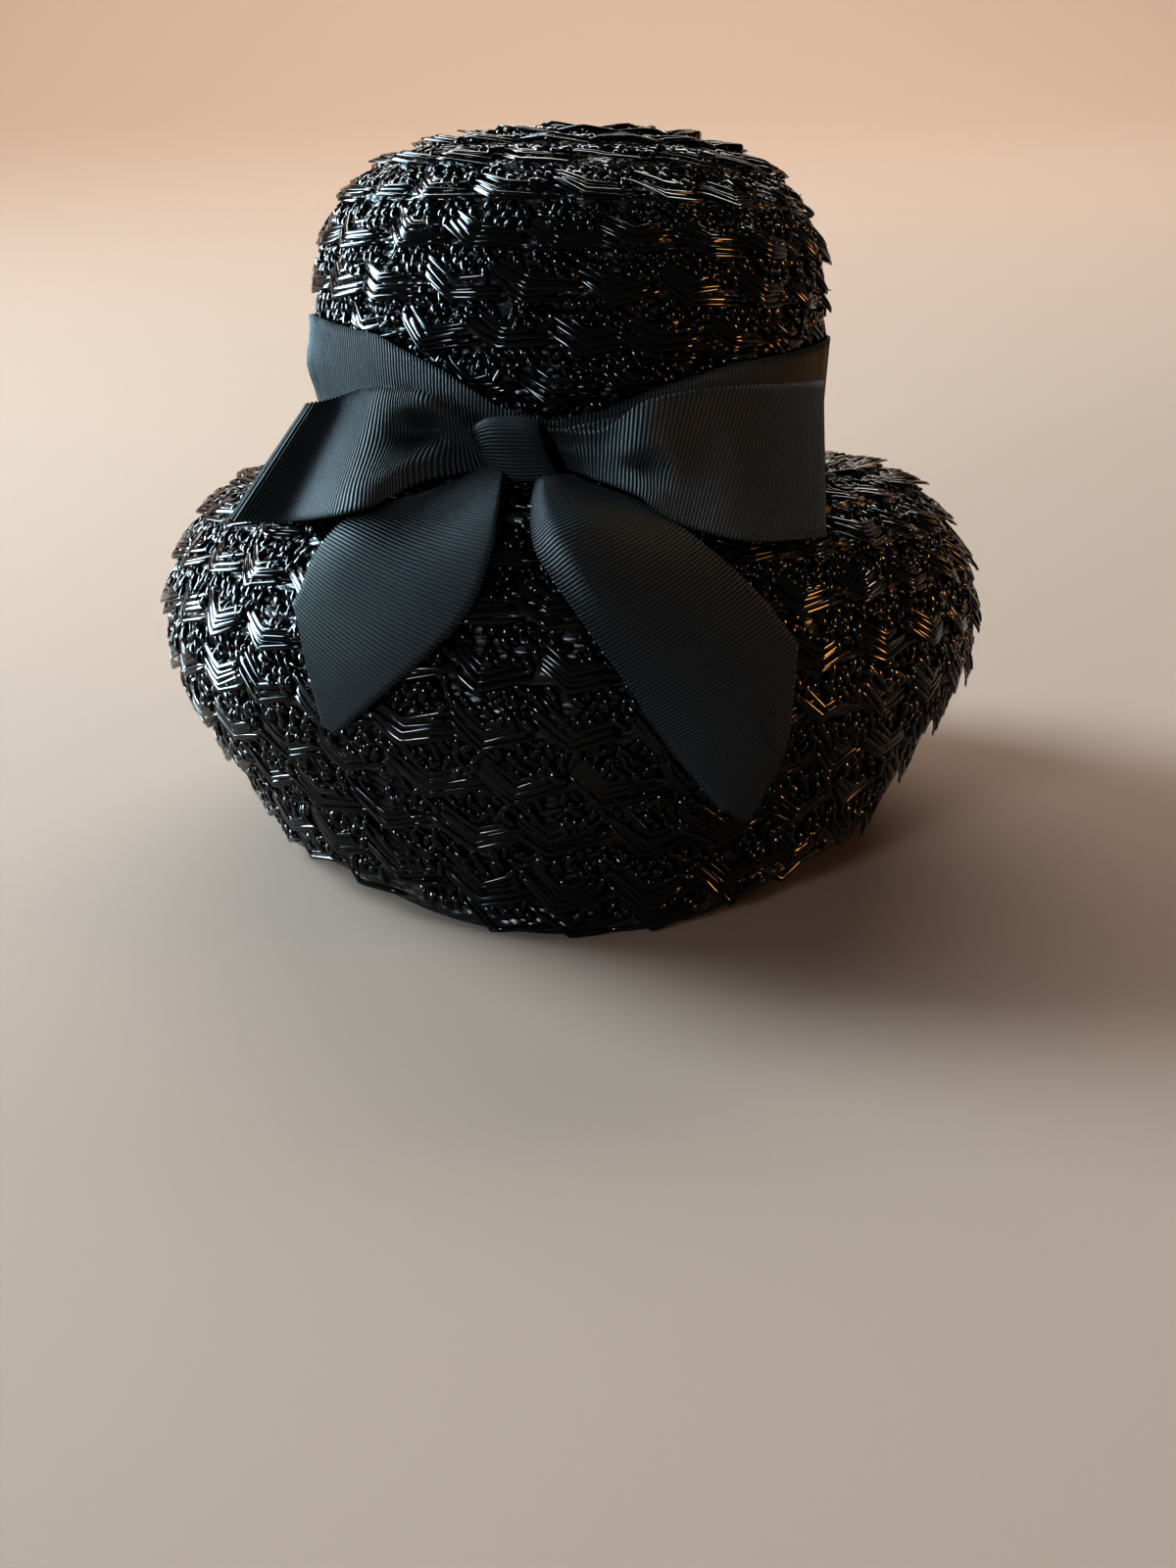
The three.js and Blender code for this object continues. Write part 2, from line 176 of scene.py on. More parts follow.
def place(degrees, r, z):
    """A point at an angle round the axis, on an oval of half width r, at a height."""
    a = np.radians(degrees)
    return np.stack(np.broadcast_arrays(r * np.cos(a), OVAL * r * np.sin(a), z), -1)


def hump(x, middle, spread):
    """A bell that is 1 at its middle."""
    return np.exp(-(((x - middle) / spread) ** 2))


def ease(x, start, end):
    """Rises smoothly from 0 at the start to 1 at the end."""
    x = np.clip((x - start) / (end - start), 0, 1)
    return x * x * (3 - 2 * x)


class Meridian:
    """A centripetal Catmull-Rom line through (radius, height) rows, measured by its length."""

    def __init__(self, table):
        p = np.array(table, float)
        p = np.vstack([2 * p[0] - p[1], p, 2 * p[-1] - p[-2]])
        d = np.sqrt(np.linalg.norm(np.diff(p, axis=0), axis=1))[:, None]
        d0, d1, d2 = d[:-2], d[1:-1], d[2:]
        p0, p1, p2, p3 = p[:-3], p[1:-2], p[2:-1], p[3:]
        m1 = ((p1 - p0) / d0 - (p2 - p0) / (d0 + d1) + (p2 - p1) / d1) * d1
        m2 = ((p2 - p1) / d1 - (p3 - p1) / (d1 + d2) + (p3 - p2) / d2) * d1
        steps = 60
        t = np.arange(steps)[None, :, None] / steps
        h = [2 * t**3 - 3 * t**2 + 1, t**3 - 2 * t**2 + t, 3 * t**2 - 2 * t**3, t**3 - t**2]
        curve = h[0] * p1[:, None] + h[1] * m1[:, None] + h[2] * p2[:, None] + h[3] * m2[:, None]
        self.rz = np.vstack([curve.reshape(-1, 2), p[-2]])
        self.s = lengths_along(self.rz)
        self.length = self.s[-1]
        self.slope = unit(np.gradient(self.rz, self.s, axis=0))

    def beside(self, u, offset):
        """Radius and height at a share u of the length, moved square to the line by an offset, which
        takes less and less effect on the radius near the axis."""
        s = np.asarray(u) * self.length
        past = np.maximum(s - self.length, 0)
        r, z = (np.interp(s, self.s, self.rz[:, i]) for i in (0, 1))
        tr, tz = (np.interp(s, self.s, self.slope[:, i]) for i in (0, 1))
        out = offset * np.minimum(1, r / NEAR_AXIS)
        return r + past * tr - tz * out, z + past * tz + tr * offset

    def over(self, z, offset, lift):
        """Radius and height of the point at a height on the surface that lies over the line by an
        offset, lifted further square to the line."""
        u = np.linspace(0, 1, 900)
        r, h = self.beside(u, offset)
        tr, tz = (np.interp(u * self.length, self.s, self.slope[:, i]) for i in (0, 1))
        at = -np.asarray(z)
        r, out, up = (np.interp(at, -h, v) for v in (r, -tz, tr))
        return r + out * lift, z + up * lift


def rim_height(degrees, r):
    """Height of the rim: a plane that dips to the back, lifted by a bell on each side of the back."""
    from_back = np.abs((degrees - BACK + 180) % 360 - 180)
    bell, foot = (hump(at, RIM_LIFT_AT, RIM_LIFT_SPREAD) for at in (from_back, 0))
    lift = RIM_LIFT * np.maximum(0, bell - foot)
    y = OVAL * r * np.sin(np.radians(degrees))
    return math.tan(SEAT_TILT) * (y + OVAL * BRIM_LINE[-1][0]) + lift


class Braid:
    """A braid sewn in a spiral down a meridian. Turn T has its lower edge at the share edge(T) of
    the line used there, and its upper edge one turn before. Lengths run along the lower edge."""

    def __init__(self, line, rows, growth, share):
        self.line, self.rows, self.growth, self.share = line, rows, growth, share
        self.turns = np.linspace(0, rows + 1, PER_TURN * (rows + 1))
        f = np.clip(self.edge(self.turns), 0, 1)
        degrees = SEAM + 360 * self.turns
        r, z = line.beside(f * share(degrees), LIP)
        self.lengths = lengths_along(place(degrees, r, z))

    def edge(self, turn):
        """Share of the line at a turn's lower edge, for rows whose height grows evenly."""
        return turn * (1 + self.growth * turn) / (self.rows * (1 + self.growth * self.rows))

    def row_height(self, along):
        """Height in millimetres of the whole row at a length along the braid."""
        turn = np.interp(along, self.lengths, self.turns)
        used = self.line.length * self.share(SEAM + 360 * turn)
        return (self.edge(turn) - self.edge(turn - 1)) * used

    def laid(self, along, up, high):
        """Points at a length along the braid, a distance up from its lower edge and a height off
        the wall. Also gives how far the point is below the row's own upper edge."""
        turn = np.interp(along, self.lengths, self.turns)
        degrees = SEAM + 360 * turn
        used = self.share(degrees)
        lip = np.minimum(self.edge(turn), 1)
        root = np.clip(self.edge(turn - 1), 0, 1)
        f = lip - up / (self.line.length * used)
        lean = np.clip((f - root) / (self.edge(turn) - self.edge(turn - 1)), 0, LEAN_MOST)
        r, z = self.line.beside(np.maximum(f, 0) * used, LIP * lean - SINK + high)
        return place(degrees, r, z), (f - root) * self.line.length * used


def linear(code):
    """sRGB hex colour to linear light."""
    c = np.array([int(code[i:i + 2], 16) for i in (1, 3, 5)]) / 255
    rgb = np.where(c <= 0.04045, c / 12.92, ((c + 0.055) / 1.055) ** 2.4)
    return (*rgb.tolist(), 1.0)


def feed(tree, node, inputs):
    """Gives a node its inputs: sockets to link from, or values to set."""
    for name, value in inputs.items():
        if isinstance(value, bpy.types.NodeSocket):
            tree.links.new(value, node.inputs[name])
        else:
            node.inputs[name].default_value = value


def add(tree, kind, inputs=None, **settings):
    """Adds a node with its inputs and its settings."""
    made = tree.nodes.new(kind)
    for name, value in settings.items():
        setattr(made, name, value)
    feed(tree, made, inputs or {})
    return made


def material(name):
    """A new material, with its tree of nodes and its shader."""
    made = bpy.data.materials.new(name)
    made.use_nodes = True
    return made, made.node_tree, made.node_tree.nodes["Principled BSDF"]


def make_piece(name, points, faces, finish, uv):
    """A mesh object from points about the crown axis, arrays of faces that have 3, 4 or more corners and
    places in the pattern. What would lie under the floor is pressed up on to it."""
    mesh = bpy.data.meshes.new(name)
    corners = np.concatenate([f.ravel() for f in faces]).astype(np.int32)
    totals = np.concatenate([np.full(len(f), f.shape[1]) for f in faces]).astype(np.int32)
    starts = np.concatenate([[0], np.cumsum(totals)[:-1]]).astype(np.int32)
    corner = seated(points).reshape(-1, 3)
    corner[:, 2] = np.maximum(corner[:, 2], 0)
    mesh.vertices.add(len(corner))
    mesh.vertices.foreach_set("co", corner.astype(np.float32).ravel())
    mesh.loops.add(len(corners))
    mesh.loops.foreach_set("vertex_index", corners)
    mesh.polygons.add(len(totals))
    mesh.polygons.foreach_set("loop_start", starts)
    mesh.polygons.foreach_set("loop_total", totals)
    mesh.polygons.foreach_set("use_smooth", np.full(len(totals), True))
    layer = mesh.uv_layers.new(name="lay")
    layer.data.foreach_set("uv", uv.reshape(-1, 2)[corners].astype(np.float32).ravel())
    mesh.update(calc_edges=True)
    mesh.validate()
    mesh.materials.append(finish)
    return put(name, mesh)


def grid_faces(rows, columns, wrap_rows=False, wrap_columns=False):
    """Quads of a grid of points stored row by row."""
    i = np.arange(rows if wrap_rows else rows - 1)[:, None]
    k = np.arange(columns if wrap_columns else columns - 1)
    n, m = (i + 1) % rows, (k + 1) % columns
    return np.stack(np.broadcast_arrays(i * columns + k, n * columns + k, n * columns + m,
                                        i * columns + m), -1).reshape(-1, 4)


# Patterns lie in a surface's own map, in millimetres, so their scales are per millimetre.
STRAW_LINES = (1.9, 0.06, 1)    # lines 0.5 mm apart and 17 mm long
STRAW_PATCHES = 0.12            # worn patches of 8 mm
PLAIT_CELLS = (0.34, 0.5, 1)    # plait of 3 mm by 2 mm
PLAIT_LEAN = (0, 0, 0.6)        # radians
WARP = (2.6, 0.4, 1)            # warp threads of 0.4 mm, twice as coarse as real ones, so that they show
PAINT = 0.6                     # per metre of floor: clouds of 1.7 m
WAVE = 2 * math.pi / 20         # scale of the wave texture for waves of 1 mm

# Straw: black film straw, drawn flat from a tube, so it has a hard gloss broken by fine lines.
straw_film, tree, shader = material("black_film_straw_glossy")
lay = add(tree, "ShaderNodeUVMap", uv_map="lay").outputs[0]
lines = add(tree, "ShaderNodeMapping", {"Vector": lay, "Scale": STRAW_LINES})
crease = add(tree, "ShaderNodeTexNoise", {"Vector": lines.outputs[0], "Scale": 1.0, "Detail": 1.0},
             noise_dimensions="2D")
bump = add(tree, "ShaderNodeBump", {"Height": crease.outputs[0], "Strength": 0.22, "Distance": 0.0003})
patches = add(tree, "ShaderNodeTexNoise", {"Vector": lay, "Scale": STRAW_PATCHES, "Detail": 1.0},
              noise_dimensions="2D")
gloss = add(tree, "ShaderNodeMapRange", {"Value": patches.outputs[0], "From Min": 0.3, "From Max": 0.7,
                                         "To Min": 0.06, "To Max": 0.16})
tint = add(tree, "ShaderNodeMix", {"Factor": patches.outputs[0], "A": linear("#020203"),
                                   "B": linear("#060708")}, data_type="RGBA")
feed(tree, shader, {"Base Color": tint.outputs["Result"], "Roughness": gloss.outputs[0],
                    "Normal": bump.outputs[0], "IOR": 1.5, "Specular IOR Level": 0.25})

# Wall: the plaited and sewn body of the braid, duller than the straws that lie on it.
braid_wall, tree, shader = material("black_straw_plaited_wall")
lay = add(tree, "ShaderNodeUVMap", uv_map="lay").outputs[0]
turned = add(tree, "ShaderNodeMapping", {"Vector": lay, "Rotation": PLAIT_LEAN, "Scale": PLAIT_CELLS})
plait = add(tree, "ShaderNodeTexVoronoi", {"Vector": turned.outputs[0], "Scale": 1.0, "Randomness": 0.6},
            voronoi_dimensions="2D")
bump = add(tree, "ShaderNodeBump", {"Height": plait.outputs["Distance"], "Strength": 0.9,
                                    "Distance": 0.001}, invert=True)
# The plait's colour darkens towards the edges of its cells, where its bump sinks: painted shade in the
# grooves.
painted_plait_shade = add(tree, "ShaderNodeMix", {"Factor": plait.outputs["Distance"], "A": linear("#08090a"),
                                    "B": linear("#030304")}, data_type="RGBA")
feed(tree, shader, {"Base Color": painted_plait_shade.outputs["Result"], "Normal": bump.outputs[0],
                    "Roughness": 0.34, "IOR": 1.5})

# Ribbon: black rayon grosgrain, woven with thick weft ribs, so it has a soft sheen across the ribs.
grosgrain, tree, shader = material("black_rayon_grosgrain_woven")
lay = add(tree, "ShaderNodeUVMap", uv_map="lay").outputs[0]
warp = add(tree, "ShaderNodeMapping", {"Vector": lay, "Scale": WARP})
threads = add(tree, "ShaderNodeTexNoise", {"Vector": warp.outputs[0], "Scale": 1.0, "Detail": 2.0},
              noise_dimensions="2D")
ribs = add(tree, "ShaderNodeTexWave", {"Vector": lay, "Scale": WAVE / RIB},
           wave_type="BANDS", bands_direction="Y", wave_profile="SIN")
both = add(tree, "ShaderNodeMix", {"Factor": 0.3, "A": ribs.outputs["Fac"], "B": threads.outputs[0]})
bump = add(tree, "ShaderNodeBump", {"Height": both.outputs[0], "Strength": 0.9, "Distance": 0.0003},
           invert=True)
cord = add(tree, "ShaderNodeMix", {"Factor": threads.outputs[0], "A": linear("#181a1b"),
                                   "B": linear("#262a2c")}, data_type="RGBA")
# The grooves between the ribs are painted near black: painted shade in the grooves, laid over the cord's
# own tone.
painted_rib_shade = add(tree, "ShaderNodeMix", {"Factor": ribs.outputs["Fac"], "A": cord.outputs["Result"],
                                   "B": linear("#030303")}, data_type="RGBA")
sheen = add(tree, "ShaderNodeMapRange", {"Value": ribs.outputs["Fac"], "To Min": 0.47, "To Max": 0.7})
feed(tree, shader, {"Base Color": painted_rib_shade.outputs["Result"], "Roughness": sheen.outputs[0],
                    "Normal": bump.outputs[0], "IOR": 1.5, "Specular IOR Level": 0.3,
                    "Specular Tint": linear("#d6e6ea")})

# Floor: matt pale paint, which keeps the room's light soft round the hat.
pale_paint, tree, shader = material("pale_matt_paint")
spot = add(tree, "ShaderNodeTexCoord")
grain = add(tree, "ShaderNodeTexNoise", {"Vector": spot.outputs["Object"], "Scale": PAINT, "Detail": 2.0})
tone = add(tree, "ShaderNodeMix", {"Factor": grain.outputs[0], "A": linear("#7d6b5e"),
                                   "B": linear("#816f62")}, data_type="RGBA")
feed(tree, shader, {"Base Color": tone.outputs["Result"], "Roughness": 0.9})


crown_line, brim_line = Meridian(CROWN_LINE), Meridian(BRIM_LINE)


def rim_share(degrees):
    """How much of the brim's line is used at an angle before it meets the rim."""
    turn = np.linspace(0, 360, 361)
    u = np.linspace(0, 1, 1200)
    r, z = brim_line.beside(u, 0)
    short = z < rim_height(turn[:, None], r)
    first = np.where(short.any(1), short.argmax(1), len(u) - 1)
    return np.interp(np.asarray(degrees) % 360, turn, u[first])


crown_braid = Braid(crown_line, CROWN_ROWS, 0.0, lambda degrees: np.ones_like(degrees, float))
brim_braid = Braid(brim_line, BRIM_ROWS, BRIM_GROWTH, rim_share)


def wall(name, braid, cut):
    """The body of the braid as a closed wall: down each row the outer side leans out to its lip and
    steps back under it, and the inner side swells a little at each row. cut is left free at the end."""
    t = np.arange(PER_TURN + 1) / PER_TURN
    degrees = SEAM + 360 * t
    used = braid.share(degrees)
    most = 1 - cut / (braid.line.length * used)
    rings = []
    for row in range(braid.rows + 1):
        ends = (np.clip(braid.edge(row + t - d), 0, most) for d in (1, 0))
        root, lip = (np.where(f < FIRST, 0, f) for f in ends)
        whole = braid.edge(row + t) - braid.edge(row + t - 1)
        for k in np.linspace(0, 1, WALL_STEPS):
            f = root + (lip - root) * k
            rings.append((f, LIP * WALL_LEAN * (f - root) / whole - BED))
    rings.append((most, np.full_like(most, -BED)))
    for k in np.linspace(1, 0, INNER_STEPS):
        f = most * k
        turn = f * braid.rows - t
        swell = SWELL * min(1, k / SWELL_FROM) * np.abs(np.sin(math.pi * turn))
        rings.append((f, -BED - WALL - swell))
    f, offset = (np.stack(part, 1) for part in zip(*rings))
    r, z = braid.line.beside(f * used[:, None], offset)
    points = place(degrees[:, None], r, z)
    along = degrees[:, None] / 360 * ROUND + 0 * f
    uv = np.stack([along, f * braid.line.length], -1)
    faces = grid_faces(PER_TURN + 1, f.shape[1], wrap_columns=True)[:, ::-1]
    made = make_piece(name, points, [faces], braid_wall, uv)
    made.modifiers.new("weld", "WELD").merge_threshold = WELD
    return made


# Cross-sections: a flattened straw with a crowned face, a straw of the plait, and a thread.
STRAW_RING = np.array([(-1, 0), (-0.8, 0.8), (0, 1), (0.8, 0.8), (1, 0), (0, -0.8)])
NUB_RING = np.array([(-1, 0), (-0.45, 0.9), (0.45, 0.9), (1, 0), (0, -0.6)])
THREAD_RING = np.array([(-1, -0.6), (0, 1), (1, -0.6)])


def swept(name, middle, out, half, thick, roll, finish, section):
    """Closed strands: the section is carried along the stations of each one, square to the way it runs,
    with its width rolled away from the outward direction, and is capped at each end."""
    count, stations = middle.shape[:2]
    ring = len(section)
    out = unit(out)
    side = unit(np.cross(np.gradient(middle, axis=1), out))
    c, s = np.cos(roll)[:, None, None], np.sin(roll)[:, None, None]
    side, out = side * c + out * s, out * c - side * s
    a = side[:, :, None] * (section[:, 0] * half[..., None])[..., None]
    b = out[:, :, None] * (section[:, 1] * thick[..., None])[..., None]
    points = middle[:, :, None] + a + b
    first = np.arange(count)[:, None] * stations * ring
    round_one = grid_faces(stations, ring, wrap_columns=True)[:, ::-1]
    sides = (first[:, :, None] + round_one).reshape(-1, 4)
    cap = np.arange(ring)
    ends = np.vstack([first + cap[::-1], first + (stations - 1) * ring + cap])
    length = np.cumsum(np.linalg.norm(np.diff(middle, axis=1, prepend=middle[:, :1]), axis=-1), axis=1)
    across = np.linspace(0, 2 * STRAW_HALF, ring)
    shift = draw.uniform(0, SCATTER, (count, 1, 1, 2))
    uv = np.stack(np.broadcast_arrays(across, length[:, :, None]), -1) + shift
    return make_piece(name, points, [sides, ends], finish, uv)


def strands(name, braid, path, half, thick, roll, section):
    """Straws laid on a braid. path holds (along, up, height) at the stations of each one."""
    along, up, high = np.moveaxis(path, -1, 0)
    middle, over = (braid.laid(along, up, high + more)[0] for more in (0, 1))
    return swept(name, middle, over - middle, half, thick, roll, straw_film, section)


def teeth(braid, start):
    """Lengths along the braid of the points of its lower edge, evenly spaced with a little play."""
    count = int((braid.lengths[-1] - start) / TOOTH)
    return start + (np.arange(count) + 0.5) * TOOTH + draw.uniform(-TOOTH_PLAY, TOOTH_PLAY, count)


def fall_way(braid, point):
    """Unit way down to a point of the edge, and the way square to it, for each tooth."""
    rise = FALL_SHARE * braid.row_height(point) + POINT_DROP
    way = np.stack([np.full_like(rise, FALL_RUN), -rise], -1)
    size = np.linalg.norm(way, axis=-1, keepdims=True)
    way = way / size
    return way, np.stack([-way[:, 1], way[:, 0]], -1), size[:, 0]


def bent_straws(braid, point, drop, climb, high):
    """Stations of the nested straws of each tooth: down to the point, over it and away along the row,
    climbing a little. high is how far the points stand off the wall."""
    count = len(point)
    way, square, size = fall_way(braid, point)
    rise = np.array([RISE_RUN, climb + POINT_DROP])
    rise_size = np.linalg.norm(rise)
    rise = rise / rise_size
    rise_square = np.array([-rise[1], rise[0]])
    corner = (square + rise_square) / (1 + square @ rise_square)[:, None]
    nest = np.arange(STRAWS)[:, None] * STRAW_STEP
    tip = np.stack([point, -drop], -1)[:, None] + nest * corner[:, None]
    tip = tip + draw.normal(0, TIP_PLAY, tip.shape)
    fall = size[:, None, None] * draw.uniform(*STRAW_PLAY, (count, STRAWS, 1))
    away = rise_size * draw.uniform(*RUN_PLAY, (count, STRAWS, 1))
    shapes = ((count, STRAWS, 1), (count, 1, 1))
    swing = sum(draw.normal(0, play, shape) for play, shape in zip(SWING_PLAY, shapes))
    down = way[:, None] + swing * square[:, None]
    turned = sum(draw.normal(0, play, shape) for play, shape in zip(TURN_PLAY, shapes))
    off = rise + turned * rise_square
    share, stand = BENT_STRAW[:, 0, None], BENT_STRAW[:, 1]
    left = tip[:, :, None] + down[:, :, None] * fall[:, :, None] * share[share[:, 0] <= 0]
    right = tip[:, :, None] + off[:, :, None] * away[:, :, None] * share[share[:, 0] > 0]
    flat = np.concatenate([left, right], 2)
    sunk = NEST_SINK * np.arange(STRAWS)[:, None]
    stand = stand * high[:, None, None] + draw.normal(0, STAND_PLAY, shapes[0]) - sunk
    path = np.concatenate([flat, np.broadcast_to(stand[..., None], flat.shape[:3] + (1,))], -1)
    return path.reshape(-1, len(BENT_STRAW), 3)


def below_band(points):
    """How far points about the crown axis lie below the upper edge of the hat band at their angle."""
    turn = (np.degrees(np.arctan2(points[..., 1] / OVAL, points[..., 0])) - BACK + 180) % 360 - 180
    return np.interp(turn, BAND_EDGES[:, 0], BAND_EDGES[:, 1]) - points[..., 2]


def straw_piece(name, braid, point, drop, climb, high, banded):
    """The bent straws of a braid that are clear of the axis, begin in their own row and aren't deep under
    the band, a few of them missing and some of them narrow, each rolled so that its lower edge lies over
    the next one. Near the band they go down under its edge."""
    path = bent_straws(braid, point, drop, climb, high)
    points, below_root = braid.laid(*np.moveaxis(path, -1, 0))
    keep = (below_root > -STRAW_PAST).all(1) & (np.hypot(points[..., 0], points[..., 1]) > POLE).all(1)
    if banded:
        below = below_band(points)
        keep &= (below < STRAW_UNDER).all(1)
        path[..., 2] -= TUCK * ease(below, TUCK_FROM, TUCK_TO)
    path = path[keep & (draw.random(len(path)) > STRAWS_MISSING)]
    count = len(path)
    half = STRAW_HALF * draw.uniform(*STRAW_PLAY, (count, 1)) * BENT_STRAW[:, 2]
    thick = STRAW_THICK * draw.uniform(*THICK_PLAY, (count, 1)) * BENT_STRAW[:, 3]
    return strands(name, braid, path, half, thick, draw.normal(STRAW_ROLL, ROLL_PLAY, count), STRAW_RING)


def nub_piece(name, braid, point, banded):
    """The plait of each row: short straws in staggered rows that arch over and tuck under, leaning down
    to the right or to the left, lower towards the top of the row, left out under the bent straws."""
    per = int(TOOTH / NUB_STEP)
    lines = np.arange(NUB_LINES)
    step = np.arange(per)[:, None] + 0.5 + lines % 2 / 2
    along = -TOOTH + step * NUB_STEP + 0 * point[:, None, None]
    rise = NUB_FROM + lines * NUB_ROW + 0 * along
    along = along + draw.normal(0, NUB_ALONG_PLAY, along.shape)
    rise = rise + draw.normal(0, NUB_UP_PLAY, rise.shape)
    way, square, size = (part[:, None, None] for part in fall_way(braid, point))
    back = -along * way[..., 0] - (rise + POINT_DROP) * way[..., 1]
    over = along * square[..., 0] + (rise + POINT_DROP) * square[..., 1]
    lower, upper, reach = UNDER_NEST
    straw = (over > lower) & (over < upper) & (back < size * reach)
    along = along + point[:, None, None]
    middle, below_root = braid.laid(along, rise, 0 * along)
    keep = ~straw & (rise < braid.row_height(along) + NUB_OVER) & (below_root > -NUB_PAST)
    keep &= np.hypot(middle[..., 0], middle[..., 1]) > POLE + NUB_LONG
    keep &= draw.random(keep.shape) > NUBS_MISSING
    if banded:
        keep &= below_band(middle) < NUB_UNDER
    along, rise = along[keep], rise[keep]
    count = len(along)
    lean = np.where(draw.random(count) < NUB_RIGHT, *NUB_LEANS)
    lean = np.radians(lean + draw.normal(0, NUB_LEAN_PLAY, count))
    reach = NUB_LONG * draw.uniform(*NUB_LONG_PLAY, count)
    ahead = reach[:, None] * NUB[:, 0]
    arch = NUB_STAND - NUB_FADE * rise / braid.row_height(along)
    high = NUB[:, 1] * (arch * draw.uniform(*NUB_PLAY, count))[:, None]
    path = np.stack([along[:, None] + ahead * np.cos(lean)[:, None],
                     rise[:, None] + ahead * np.sin(lean)[:, None], high + NUB_BED], -1)
    half = NUB_HALF * draw.uniform(*NUB_PLAY, (count, 1)) * NUB[:, 2]
    thick = NUB_THICK * np.ones((count, 1)) * NUB[:, 3]
    return strands(name, braid, path, half, thick, draw.normal(0, NUB_ROLL_PLAY, count), NUB_RING)


def loose_ends(name, braid, start, share, count):
    """Ends of straw that have sprung out of the plait, between a start and a share of the braid's length:
    each goes along and a little aside, and curls away from the wall."""
    along = draw.uniform(start, share * braid.lengths[-1], count)[:, None]
    s = np.linspace(0, 1, 6)
    size = draw.uniform(*END_LONG, (count, 1))
    lean = draw.uniform(-0.9, 0.9, (count, 1))
    high = 0.5 + size * (0.75 * s**1.5 + 0.12 * np.sin(5 * s))
    path = np.stack([along + size * s * np.cos(lean), END_UP + size * s * np.sin(lean), high], -1)
    half = draw.uniform(*END_HALF, (count, 1)) * (1 - 0.5 * s)
    thick = np.full_like(half, END_HALF[0])
    return strands(name, braid, path, half, thick, draw.normal(0, 0.5, count), THREAD_RING)


# Ribbon tables, as on the solids: turns are degrees from the back, positive to the right.
BAND_EDGES = np.array([(-180, 157, 120.4), (-120, 159, 120.4), (-75, 160, 120.4), (-44, 155, 120.4),
                       (-27, 146, 120.4), (-15, 137, 120.8), (-4, 133, 121.2), (7, 136, 120.8),
                       (17, 141, 120.4), (35, 147, 120.4), (75, 152, 120.4), (120, 155, 120.4),
                       (180, 157, 120.4)])  # turn, top, foot
LEFT_LOOP = np.array([(-18.2, 132, 83, -15, 122.5, 83), (-24, 140.5, 85, -23, 119.5, 96),
                      (-33, 142, 86, -29, 113, 109), (-45, 140, 81, -45, 108.5, 103.5),
                      (-49, 137.5, 89.5, -49, 109, 114), (-53, 137, 85, -51.5, 109.5, 109.5),
                      (-52, 137, 79, -49, 110.5, 103), (-42, 138, 78, -40, 111, 100.5),
                      (-31, 137, 78, -31, 114.5, 96.5), (-18, 131, 77.5, -15.3, 123, 77.5)])
RIGHT_LOOP = np.array([(-3.7, 132, 83, -0.5, 122.5, 83), (5, 131.6, 86.5, 4.5, 119.8, 91),
                       (12.5, 138.6, 87, 9.5, 116.5, 99), (24, 141.5, 86, 14, 110.5, 104.5),
                       (40, 142, 85, 23, 105.8, 109), (54, 142, 81.5, 34.5, 105.3, 108.5),
                       (56, 142, 79, 36, 105.3, 106.5), (52, 141, 77.7, 33, 106, 104.5),
                       (40, 140, 77.7, 25, 107.3, 104), (24, 138, 77.7, 15, 113, 97),
                       (-3.4, 131, 77.5, -0.7, 123, 77.5)])
# Loops hold the turn, height and radius of the upper edge, then of the lower edge.
LEFT_TAIL = np.array([(-15.0, 119, -10.5, 119), (-23, 115.4, -10.2, 111), (-30.2, 111.4, -10.2, 103),
                      (-34.5, 102.4, -13.2, 88), (-36.8, 89.4, -22, 71.6), (-42.5, 75.2, -31.8, 57)])
RIGHT_TAIL = np.array([(-7.4, 119, -2.8, 119), (-5, 105.6, 8.5, 115), (-0.5, 93, 15, 107.6),
                       (5.5, 75.8, 22.2, 94.8), (13, 54.4, 31.8, 72.2), (25, 31.6, 48.5, 48.4)])
# Tails hold the turn and height of the left edge, then of the right edge, before the end is cut.
LEFT_CUT = np.array([(0, 0.8), (0.45, 0.91), (0.85, 1.0), (1, 1.0)])
RIGHT_CUT = np.array([(0, 0.95), (0.08, 1.0), (0.5, 0.89), (1, 0.732)])
# Cuts hold a share of the tail's width and the share of its length that is left there.
STRAY = np.array([(0.79, 0.607), (0.804, 0.606), (0.812, 0.588), (0.812, 0.56), (0.81, 0.53),
                  (0.822, 0.505), (0.832, 0.496), (0.86, 0.465), (0.889, 0.435)])
# The stray thread's rows are shares of the right tail's length and width.
LEFT_TUCK = (-15.8, -12.0, 122.5, 84.0)
RIGHT_TUCK = (-5.0, 1.0, 120.5, 83.5)
# A tuck is where a tail leaves the knot: the turns of its two edges, height and radius.
ALL = math.inf          # the spread of a fold that is the same all across
LEFT_FOLDS = [(-6.0, 0.14, 0, 0.05, 0.55, 0.16),        # deep pocket beside the knot
              (2.6, 0.12, 0, 0.07, 0.92, 0.15),         # round pleat above it
              (2.6, 0.14, 0, 0.08, 0.2, 0.15),          # and one below it
              (2.4, 0.235, 0, 0.045, 0.5, ALL),         # broad crest down the middle
              (-3.0, 0.87, 0, 0.06, 0.53, 0.25)]        # hollow behind
RIGHT_FOLDS = [(-3.2, 0.217, 0, 0.05, 0.3, 0.14),       # pocket low beside the neck
               (0.7, 0.235, 0, 0.055, 0.08, 0.12),      # pleat below it
               (0.4, 0.19, 0, 0.05, 0.8, 0.18),         # lit facet above it
               (-1.3, 0.336, -0.054, 0.03, 0.5, 0.3),   # upright crease
               (0.5, 0.39, -0.054, 0.05, 0.5, ALL),     # soft crest past it
               (-2.5, 0.892, 0, 0.055, 0.3, 0.25)]      # hollow behind
